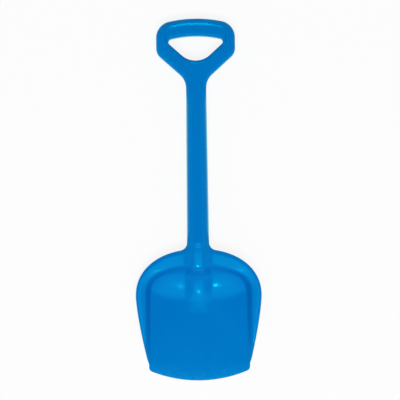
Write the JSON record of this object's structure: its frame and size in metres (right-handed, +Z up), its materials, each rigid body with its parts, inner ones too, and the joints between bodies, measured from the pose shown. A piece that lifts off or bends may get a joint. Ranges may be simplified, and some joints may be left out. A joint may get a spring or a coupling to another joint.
{
  "type": "sand shovel",
  "caption": "Child's plastic sand shovel with a scoop blade, raised side and rear walls, a channel shaft and a bowed D grip, in bright blue",
  "frame": {"origin": "on the ground, in the middle of the shovel's length and width", "axes": "the shovel lies on its back, +Z up out of the hollow side of the blade, +Y along the shaft towards the grip, +X across to the right"},
  "size_m": [0.174, 0.5008, 0.0344],
  "materials": {
    "blue_plastic": "glossy moulded polypropylene"
  },
  "bodies": {
    "root": {"blade_plate": "blue_plastic", "blade_scoop": "blue_plastic", "left_side_wall": "blue_plastic", "right_side_wall": "blue_plastic", "left_shoulder": "blue_plastic", "right_shoulder": "blue_plastic", "socket": "blue_plastic", "shaft": "blue_plastic", "shaft_webs": "blue_plastic", "yoke": "blue_plastic", "left_arm": "blue_plastic", "right_arm": "blue_plastic", "arm_webs": "blue_plastic", "grip_bar": "blue_plastic", "bar_webs": "blue_plastic"}
  },
  "joints": []
}
